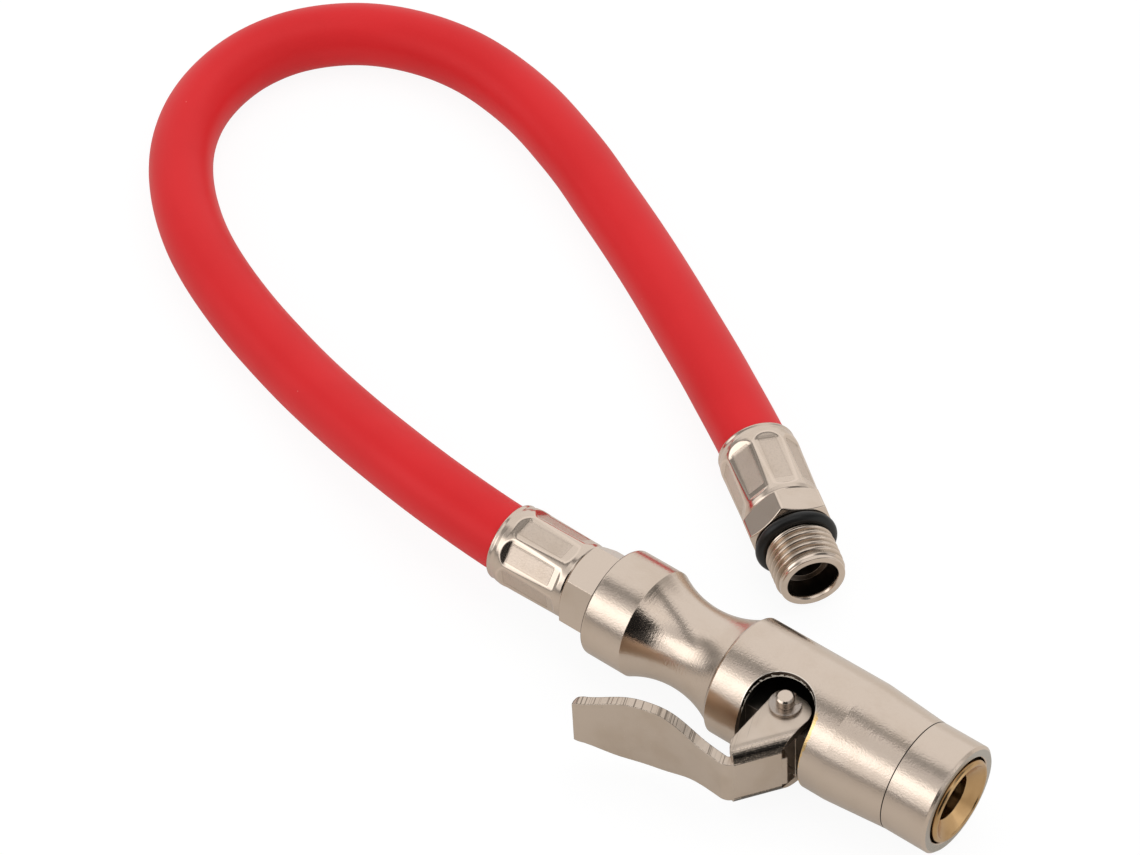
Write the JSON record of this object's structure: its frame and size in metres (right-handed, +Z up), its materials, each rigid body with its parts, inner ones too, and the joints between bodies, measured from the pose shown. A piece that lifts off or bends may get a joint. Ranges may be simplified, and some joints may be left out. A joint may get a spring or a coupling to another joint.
{
  "type": "clip-on tyre air chuck with hose",
  "caption": "Clip-on tyre air chuck with a thumb lever, on a short rubber whip hose with crimped ferrules and a male threaded inlet fitting.",
  "frame": {"origin": "on the chuck's axis, in the middle of the valve bore's wall", "axes": "+X out of the valve mouth along the chuck, +Z up from the surface it lies on, so the thumb lever is on the -Y side and the hose leaves towards -X"},
  "size_m": [0.2355, 0.1319, 0.023],
  "materials": {
    "nickel": "satin nickel plate with turning marks",
    "lever_nickel": "satin nickel plate on pressed sheet, sheared edges",
    "fitting_nickel": "satin nickel plate with grained crimp flats",
    "brass": "turned, matt",
    "steel": "plain",
    "hose_rubber": "smooth with a soft sheen",
    "seal_rubber": "matt"
  },
  "bodies": {
    "housing": {"sleeve": "nickel", "nose_collar": "nickel", "rear_body": "nickel", "return_spring": "steel", "spring_seat": "steel", "core_tube": "brass", "core_oring": "seal_rubber", "seal_cup": "brass", "valve_seal": "seal_rubber", "valve_depressor": "brass", "hose_stem": "fitting_nickel", "chuck_ferrule": "fitting_nickel", "hose": "hose_rubber", "inlet_ferrule": "fitting_nickel", "inlet_fitting": "fitting_nickel", "inlet_oring": "seal_rubber"},
    "slider": {"clamp_slider": "steel", "mouth_bush": "brass", "lever_pin": "nickel", "pin_clips": "steel"},
    "lever": {"lever": "lever_nickel"},
    "jaw_1": {"jaw_1": "steel"},
    "jaw_2": {"jaw_2": "steel"},
    "jaw_3": {"jaw_3": "steel"}
  },
  "joints": [
    {"name": "slider_slide", "type": "slide", "parent": "housing", "child": "slider", "axis": [1, 0, 0], "range_m": [0, 0.002], "deforming": ["return_spring"]},
    {"name": "lever_hinge", "type": "hinge", "parent": "slider", "child": "lever", "pos_m": [-0.0297, -0.0055, 0], "axis": [0, 0, -1], "range_deg": [0, 20], "stiffness_Nm_per_rad": 0.2, "springref_deg": -17.19},
    {"name": "jaw_1_slide", "type": "slide", "parent": "slider", "child": "jaw_1", "axis": [0, 0, 1], "range_m": [0, 0.00045]},
    {"name": "jaw_2_slide", "type": "slide", "parent": "slider", "child": "jaw_2", "axis": [0, -0.866, -0.5], "range_m": [0, 0.00045]},
    {"name": "jaw_3_slide", "type": "slide", "parent": "slider", "child": "jaw_3", "axis": [0, 0.866, -0.5], "range_m": [0, 0.00045]}
  ],
  "couplings": [
    {"joint": "lever_hinge", "follows": "slider_slide", "rad_per_m": 174.5},
    {"joint": "jaw_1_slide", "follows": "slider_slide", "ratio": 0.22},
    {"joint": "jaw_2_slide", "follows": "slider_slide", "ratio": 0.22},
    {"joint": "jaw_3_slide", "follows": "slider_slide", "ratio": 0.22}
  ]
}
